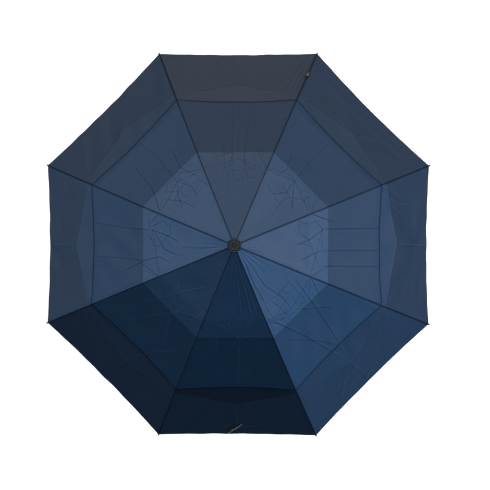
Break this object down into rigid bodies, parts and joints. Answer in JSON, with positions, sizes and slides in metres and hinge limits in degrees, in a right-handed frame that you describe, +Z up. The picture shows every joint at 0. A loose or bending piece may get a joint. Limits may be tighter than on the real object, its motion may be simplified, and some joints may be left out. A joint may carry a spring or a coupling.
{
  "type": "folding umbrella",
  "caption": "Open three-fold umbrella with a vented double canopy, hinged steel rib chains, telescopic shaft and push-button handle.",
  "frame": {"origin": "centre of the flat end face of the handle", "axes": "+Z up along the shaft towards the cap, +Y towards the top edge of the source image, +X towards its right edge"},
  "size_m": [0.9356, 0.9356, 0.614],
  "materials": {
    "rib_steel": "black lacquered spring steel",
    "link_steel": "satin nickel plate",
    "rod_steel": "black lacquered rod with black cap",
    "shaft_steel": "black gloss lacquer",
    "crown_plastic": "black nylon",
    "ring_wire": "galvanised",
    "washer_plastic": "black, moulded",
    "cap_plastic": "dark grey, satin bevel",
    "spring_steel": "bright spring wire",
    "handle_core_plastic": "moulded black",
    "handle_rubber": "soft-touch black",
    "handle_trim": "dark grey",
    "button_plastic": "grey, satin",
    "screw_steel": "black zinc",
    "upper_fabric": "navy pongee",
    "lower_fabric": "navy pongee",
    "strap_fabric": "navy webbing with a snap"
  },
  "bodies": {
    "handle": {"handle_core": "handle_core_plastic", "handle_shell_front": "handle_rubber", "handle_shell_back": "handle_rubber", "handle_collar": "handle_trim", "handle_end_cap": "handle_trim", "handle_screws": "screw_steel", "tube_bottom": "shaft_steel", "main_spring": "spring_steel", "button_spring": "spring_steel"},
    "button": {"button": "button_plastic"},
    "shaft_middle": {"tube_middle": "shaft_steel"},
    "crown": {"tube_top": "shaft_steel", "crown_notch": "crown_plastic", "crown_ring": "ring_wire", "cap_washer": "washer_plastic", "top_cap": "cap_plastic", "canopy_upper": "upper_fabric", "canopy_lower": "lower_fabric", "closure_strap": "strap_fabric"},
    "runner": {"runner": "crown_plastic"},
    "top_rib_1": {"top_rib_1": "rib_steel"},
    "stretcher_1": {"stretcher_1": "rib_steel"},
    "link_1": {"link_1": "link_steel"},
    "middle_rib_1": {"middle_rib_1": "rib_steel"},
    "tail_rib_1": {"tail_rib_1": "rod_steel"},
    "top_rib_2": {"top_rib_2": "rib_steel"},
    "stretcher_2": {"stretcher_2": "rib_steel"},
    "link_2": {"link_2": "link_steel"},
    "middle_rib_2": {"middle_rib_2": "rib_steel"},
    "tail_rib_2": {"tail_rib_2": "rod_steel"},
    "top_rib_3": {"top_rib_3": "rib_steel"},
    "stretcher_3": {"stretcher_3": "rib_steel"},
    "link_3": {"link_3": "link_steel"},
    "middle_rib_3": {"middle_rib_3": "rib_steel"},
    "tail_rib_3": {"tail_rib_3": "rod_steel"},
    "top_rib_4": {"top_rib_4": "rib_steel"},
    "stretcher_4": {"stretcher_4": "rib_steel"},
    "link_4": {"link_4": "link_steel"},
    "middle_rib_4": {"middle_rib_4": "rib_steel"},
    "tail_rib_4": {"tail_rib_4": "rod_steel"},
    "top_rib_5": {"top_rib_5": "rib_steel"},
    "stretcher_5": {"stretcher_5": "rib_steel"},
    "link_5": {"link_5": "link_steel"},
    "middle_rib_5": {"middle_rib_5": "rib_steel"},
    "tail_rib_5": {"tail_rib_5": "rod_steel"},
    "top_rib_6": {"top_rib_6": "rib_steel"},
    "stretcher_6": {"stretcher_6": "rib_steel"},
    "link_6": {"link_6": "link_steel"},
    "middle_rib_6": {"middle_rib_6": "rib_steel"},
    "tail_rib_6": {"tail_rib_6": "rod_steel"},
    "top_rib_7": {"top_rib_7": "rib_steel"},
    "stretcher_7": {"stretcher_7": "rib_steel"},
    "link_7": {"link_7": "link_steel"},
    "middle_rib_7": {"middle_rib_7": "rib_steel"},
    "tail_rib_7": {"tail_rib_7": "rod_steel"},
    "top_rib_8": {"top_rib_8": "rib_steel"},
    "stretcher_8": {"stretcher_8": "rib_steel"},
    "link_8": {"link_8": "link_steel"},
    "middle_rib_8": {"middle_rib_8": "rib_steel"},
    "tail_rib_8": {"tail_rib_8": "rod_steel"}
  },
  "joints": [
    {"name": "shaft_collapse", "type": "slide", "parent": "handle", "child": "shaft_middle", "axis": [0, 0, -1], "range_m": [0, 0.15], "deforming": ["main_spring"]},
    {"name": "shaft_collapse_top", "type": "slide", "parent": "shaft_middle", "child": "crown", "axis": [0, 0, -1], "range_m": [0, 0.15]},
    {"name": "canopy_fold", "type": "slide", "parent": "crown", "child": "runner", "axis": [0, 0, -1], "range_m": [0, 0.15134], "deforming": ["canopy_upper", "canopy_lower", "closure_strap"]},
    {"name": "button_press", "type": "slide", "parent": "handle", "child": "button", "axis": [0, 1, 0], "range_m": [0, 0.0022], "stiffness_N_per_m": 900, "deforming": ["button_spring"]},
    {"name": "crown_to_top_rib_1", "type": "hinge", "parent": "crown", "child": "top_rib_1", "pos_m": [0.01016, 0.00421, 0.603], "axis": [-0.3827, 0.9239, 0], "range_deg": [0, 73.01]},
    {"name": "top_rib_to_stretcher_1", "type": "hinge", "parent": "top_rib_1", "child": "stretcher_1", "pos_m": [0.09981, 0.04134, 0.57881], "axis": [-0.3827, 0.9239, 0], "range_deg": [-146.01, 0]},
    {"name": "stretcher_to_link_1", "type": "hinge", "parent": "stretcher_1", "child": "link_1", "pos_m": [0.09328, 0.03864, 0.57505], "axis": [-0.3827, 0.9239, 0], "range_deg": [0, 146.43]},
    {"name": "top_to_middle_rib_1", "type": "hinge", "parent": "top_rib_1", "child": "middle_rib_1", "pos_m": [0.16852, 0.0698, 0.56294], "axis": [-0.3827, 0.9239, 0], "range_deg": [-190.01, 0]},
    {"name": "middle_to_tail_rib_1", "type": "hinge", "parent": "middle_rib_1", "child": "tail_rib_1", "pos_m": [0.32266, 0.13365, 0.48062], "axis": [-0.3827, 0.9239, 0], "range_deg": [0, 166.01]},
    {"name": "crown_to_top_rib_2", "type": "hinge", "parent": "crown", "child": "top_rib_2", "pos_m": [0.00421, 0.01016, 0.603], "axis": [-0.9239, 0.3827, 0], "range_deg": [0, 73.01]},
    {"name": "top_rib_to_stretcher_2", "type": "hinge", "parent": "top_rib_2", "child": "stretcher_2", "pos_m": [0.04134, 0.09981, 0.57881], "axis": [-0.9239, 0.3827, 0], "range_deg": [-146.01, 0]},
    {"name": "stretcher_to_link_2", "type": "hinge", "parent": "stretcher_2", "child": "link_2", "pos_m": [0.03864, 0.09328, 0.57505], "axis": [-0.9239, 0.3827, 0], "range_deg": [0, 146.43]},
    {"name": "top_to_middle_rib_2", "type": "hinge", "parent": "top_rib_2", "child": "middle_rib_2", "pos_m": [0.0698, 0.16852, 0.56294], "axis": [-0.9239, 0.3827, 0], "range_deg": [-190.01, 0]},
    {"name": "middle_to_tail_rib_2", "type": "hinge", "parent": "middle_rib_2", "child": "tail_rib_2", "pos_m": [0.13365, 0.32266, 0.48062], "axis": [-0.9239, 0.3827, 0], "range_deg": [0, 166.01]},
    {"name": "crown_to_top_rib_3", "type": "hinge", "parent": "crown", "child": "top_rib_3", "pos_m": [-0.00421, 0.01016, 0.603], "axis": [-0.9239, -0.3827, 0], "range_deg": [0, 73.01]},
    {"name": "top_rib_to_stretcher_3", "type": "hinge", "parent": "top_rib_3", "child": "stretcher_3", "pos_m": [-0.04134, 0.09981, 0.57881], "axis": [-0.9239, -0.3827, 0], "range_deg": [-146.01, 0]},
    {"name": "stretcher_to_link_3", "type": "hinge", "parent": "stretcher_3", "child": "link_3", "pos_m": [-0.03864, 0.09328, 0.57505], "axis": [-0.9239, -0.3827, 0], "range_deg": [0, 146.43]},
    {"name": "top_to_middle_rib_3", "type": "hinge", "parent": "top_rib_3", "child": "middle_rib_3", "pos_m": [-0.0698, 0.16852, 0.56294], "axis": [-0.9239, -0.3827, 0], "range_deg": [-190.01, 0]},
    {"name": "middle_to_tail_rib_3", "type": "hinge", "parent": "middle_rib_3", "child": "tail_rib_3", "pos_m": [-0.13365, 0.32266, 0.48062], "axis": [-0.9239, -0.3827, 0], "range_deg": [0, 166.01]},
    {"name": "crown_to_top_rib_4", "type": "hinge", "parent": "crown", "child": "top_rib_4", "pos_m": [-0.01016, 0.00421, 0.603], "axis": [-0.3827, -0.9239, 0], "range_deg": [0, 73.01]},
    {"name": "top_rib_to_stretcher_4", "type": "hinge", "parent": "top_rib_4", "child": "stretcher_4", "pos_m": [-0.09981, 0.04134, 0.57881], "axis": [-0.3827, -0.9239, 0], "range_deg": [-146.01, 0]},
    {"name": "stretcher_to_link_4", "type": "hinge", "parent": "stretcher_4", "child": "link_4", "pos_m": [-0.09328, 0.03864, 0.57505], "axis": [-0.3827, -0.9239, 0], "range_deg": [0, 146.43]},
    {"name": "top_to_middle_rib_4", "type": "hinge", "parent": "top_rib_4", "child": "middle_rib_4", "pos_m": [-0.16852, 0.0698, 0.56294], "axis": [-0.3827, -0.9239, 0], "range_deg": [-190.01, 0]},
    {"name": "middle_to_tail_rib_4", "type": "hinge", "parent": "middle_rib_4", "child": "tail_rib_4", "pos_m": [-0.32266, 0.13365, 0.48062], "axis": [-0.3827, -0.9239, 0], "range_deg": [0, 166.01]},
    {"name": "crown_to_top_rib_5", "type": "hinge", "parent": "crown", "child": "top_rib_5", "pos_m": [-0.01016, -0.00421, 0.603], "axis": [0.3827, -0.9239, 0], "range_deg": [0, 73.01]},
    {"name": "top_rib_to_stretcher_5", "type": "hinge", "parent": "top_rib_5", "child": "stretcher_5", "pos_m": [-0.09981, -0.04134, 0.57881], "axis": [0.3827, -0.9239, 0], "range_deg": [-146.01, 0]},
    {"name": "stretcher_to_link_5", "type": "hinge", "parent": "stretcher_5", "child": "link_5", "pos_m": [-0.09328, -0.03864, 0.57505], "axis": [0.3827, -0.9239, 0], "range_deg": [0, 146.43]},
    {"name": "top_to_middle_rib_5", "type": "hinge", "parent": "top_rib_5", "child": "middle_rib_5", "pos_m": [-0.16852, -0.0698, 0.56294], "axis": [0.3827, -0.9239, 0], "range_deg": [-190.01, 0]},
    {"name": "middle_to_tail_rib_5", "type": "hinge", "parent": "middle_rib_5", "child": "tail_rib_5", "pos_m": [-0.32266, -0.13365, 0.48062], "axis": [0.3827, -0.9239, 0], "range_deg": [0, 166.01]},
    {"name": "crown_to_top_rib_6", "type": "hinge", "parent": "crown", "child": "top_rib_6", "pos_m": [-0.00421, -0.01016, 0.603], "axis": [0.9239, -0.3827, 0], "range_deg": [0, 73.01]},
    {"name": "top_rib_to_stretcher_6", "type": "hinge", "parent": "top_rib_6", "child": "stretcher_6", "pos_m": [-0.04134, -0.09981, 0.57881], "axis": [0.9239, -0.3827, 0], "range_deg": [-146.01, 0]},
    {"name": "stretcher_to_link_6", "type": "hinge", "parent": "stretcher_6", "child": "link_6", "pos_m": [-0.03864, -0.09328, 0.57505], "axis": [0.9239, -0.3827, 0], "range_deg": [0, 146.43]},
    {"name": "top_to_middle_rib_6", "type": "hinge", "parent": "top_rib_6", "child": "middle_rib_6", "pos_m": [-0.0698, -0.16852, 0.56294], "axis": [0.9239, -0.3827, 0], "range_deg": [-190.01, 0]},
    {"name": "middle_to_tail_rib_6", "type": "hinge", "parent": "middle_rib_6", "child": "tail_rib_6", "pos_m": [-0.13365, -0.32266, 0.48062], "axis": [0.9239, -0.3827, 0], "range_deg": [0, 166.01]},
    {"name": "crown_to_top_rib_7", "type": "hinge", "parent": "crown", "child": "top_rib_7", "pos_m": [0.00421, -0.01016, 0.603], "axis": [0.9239, 0.3827, 0], "range_deg": [0, 73.01]},
    {"name": "top_rib_to_stretcher_7", "type": "hinge", "parent": "top_rib_7", "child": "stretcher_7", "pos_m": [0.04134, -0.09981, 0.57881], "axis": [0.9239, 0.3827, 0], "range_deg": [-146.01, 0]},
    {"name": "stretcher_to_link_7", "type": "hinge", "parent": "stretcher_7", "child": "link_7", "pos_m": [0.03864, -0.09328, 0.57505], "axis": [0.9239, 0.3827, 0], "range_deg": [0, 146.43]},
    {"name": "top_to_middle_rib_7", "type": "hinge", "parent": "top_rib_7", "child": "middle_rib_7", "pos_m": [0.0698, -0.16852, 0.56294], "axis": [0.9239, 0.3827, 0], "range_deg": [-190.01, 0]},
    {"name": "middle_to_tail_rib_7", "type": "hinge", "parent": "middle_rib_7", "child": "tail_rib_7", "pos_m": [0.13365, -0.32266, 0.48062], "axis": [0.9239, 0.3827, 0], "range_deg": [0, 166.01]},
    {"name": "crown_to_top_rib_8", "type": "hinge", "parent": "crown", "child": "top_rib_8", "pos_m": [0.01016, -0.00421, 0.603], "axis": [0.3827, 0.9239, 0], "range_deg": [0, 73.01]},
    {"name": "top_rib_to_stretcher_8", "type": "hinge", "parent": "top_rib_8", "child": "stretcher_8", "pos_m": [0.09981, -0.04134, 0.57881], "axis": [0.3827, 0.9239, 0], "range_deg": [-146.01, 0]},
    {"name": "stretcher_to_link_8", "type": "hinge", "parent": "stretcher_8", "child": "link_8", "pos_m": [0.09328, -0.03864, 0.57505], "axis": [0.3827, 0.9239, 0], "range_deg": [0, 146.43]},
    {"name": "top_to_middle_rib_8", "type": "hinge", "parent": "top_rib_8", "child": "middle_rib_8", "pos_m": [0.16852, -0.0698, 0.56294], "axis": [0.3827, 0.9239, 0], "range_deg": [-190.01, 0]},
    {"name": "middle_to_tail_rib_8", "type": "hinge", "parent": "middle_rib_8", "child": "tail_rib_8", "pos_m": [0.32266, -0.13365, 0.48062], "axis": [0.3827, 0.9239, 0], "range_deg": [0, 166.01]}
  ],
  "couplings": [
    {"joint": "shaft_collapse_top", "follows": "shaft_collapse", "ratio": 1},
    {"joint": "crown_to_top_rib_1", "follows": "canopy_fold", "rad_per_m": 8.4186},
    {"joint": "top_rib_to_stretcher_1", "follows": "canopy_fold", "rad_per_m": -16.837},
    {"joint": "stretcher_to_link_1", "follows": "canopy_fold", "rad_per_m": 16.886},
    {"joint": "top_to_middle_rib_1", "follows": "canopy_fold", "rad_per_m": -21.911},
    {"joint": "middle_to_tail_rib_1", "follows": "canopy_fold", "rad_per_m": 19.144},
    {"joint": "crown_to_top_rib_2", "follows": "canopy_fold", "rad_per_m": 8.4186},
    {"joint": "top_rib_to_stretcher_2", "follows": "canopy_fold", "rad_per_m": -16.837},
    {"joint": "stretcher_to_link_2", "follows": "canopy_fold", "rad_per_m": 16.886},
    {"joint": "top_to_middle_rib_2", "follows": "canopy_fold", "rad_per_m": -21.911},
    {"joint": "middle_to_tail_rib_2", "follows": "canopy_fold", "rad_per_m": 19.144},
    {"joint": "crown_to_top_rib_3", "follows": "canopy_fold", "rad_per_m": 8.4186},
    {"joint": "top_rib_to_stretcher_3", "follows": "canopy_fold", "rad_per_m": -16.837},
    {"joint": "stretcher_to_link_3", "follows": "canopy_fold", "rad_per_m": 16.886},
    {"joint": "top_to_middle_rib_3", "follows": "canopy_fold", "rad_per_m": -21.911},
    {"joint": "middle_to_tail_rib_3", "follows": "canopy_fold", "rad_per_m": 19.144},
    {"joint": "crown_to_top_rib_4", "follows": "canopy_fold", "rad_per_m": 8.4186},
    {"joint": "top_rib_to_stretcher_4", "follows": "canopy_fold", "rad_per_m": -16.837},
    {"joint": "stretcher_to_link_4", "follows": "canopy_fold", "rad_per_m": 16.886},
    {"joint": "top_to_middle_rib_4", "follows": "canopy_fold", "rad_per_m": -21.911},
    {"joint": "middle_to_tail_rib_4", "follows": "canopy_fold", "rad_per_m": 19.144},
    {"joint": "crown_to_top_rib_5", "follows": "canopy_fold", "rad_per_m": 8.4186},
    {"joint": "top_rib_to_stretcher_5", "follows": "canopy_fold", "rad_per_m": -16.837},
    {"joint": "stretcher_to_link_5", "follows": "canopy_fold", "rad_per_m": 16.886},
    {"joint": "top_to_middle_rib_5", "follows": "canopy_fold", "rad_per_m": -21.911},
    {"joint": "middle_to_tail_rib_5", "follows": "canopy_fold", "rad_per_m": 19.144},
    {"joint": "crown_to_top_rib_6", "follows": "canopy_fold", "rad_per_m": 8.4186},
    {"joint": "top_rib_to_stretcher_6", "follows": "canopy_fold", "rad_per_m": -16.837},
    {"joint": "stretcher_to_link_6", "follows": "canopy_fold", "rad_per_m": 16.886},
    {"joint": "top_to_middle_rib_6", "follows": "canopy_fold", "rad_per_m": -21.911},
    {"joint": "middle_to_tail_rib_6", "follows": "canopy_fold", "rad_per_m": 19.144},
    {"joint": "crown_to_top_rib_7", "follows": "canopy_fold", "rad_per_m": 8.4186},
    {"joint": "top_rib_to_stretcher_7", "follows": "canopy_fold", "rad_per_m": -16.837},
    {"joint": "stretcher_to_link_7", "follows": "canopy_fold", "rad_per_m": 16.886},
    {"joint": "top_to_middle_rib_7", "follows": "canopy_fold", "rad_per_m": -21.911},
    {"joint": "middle_to_tail_rib_7", "follows": "canopy_fold", "rad_per_m": 19.144},
    {"joint": "crown_to_top_rib_8", "follows": "canopy_fold", "rad_per_m": 8.4186},
    {"joint": "top_rib_to_stretcher_8", "follows": "canopy_fold", "rad_per_m": -16.837},
    {"joint": "stretcher_to_link_8", "follows": "canopy_fold", "rad_per_m": 16.886},
    {"joint": "top_to_middle_rib_8", "follows": "canopy_fold", "rad_per_m": -21.911},
    {"joint": "middle_to_tail_rib_8", "follows": "canopy_fold", "rad_per_m": 19.144}
  ]
}
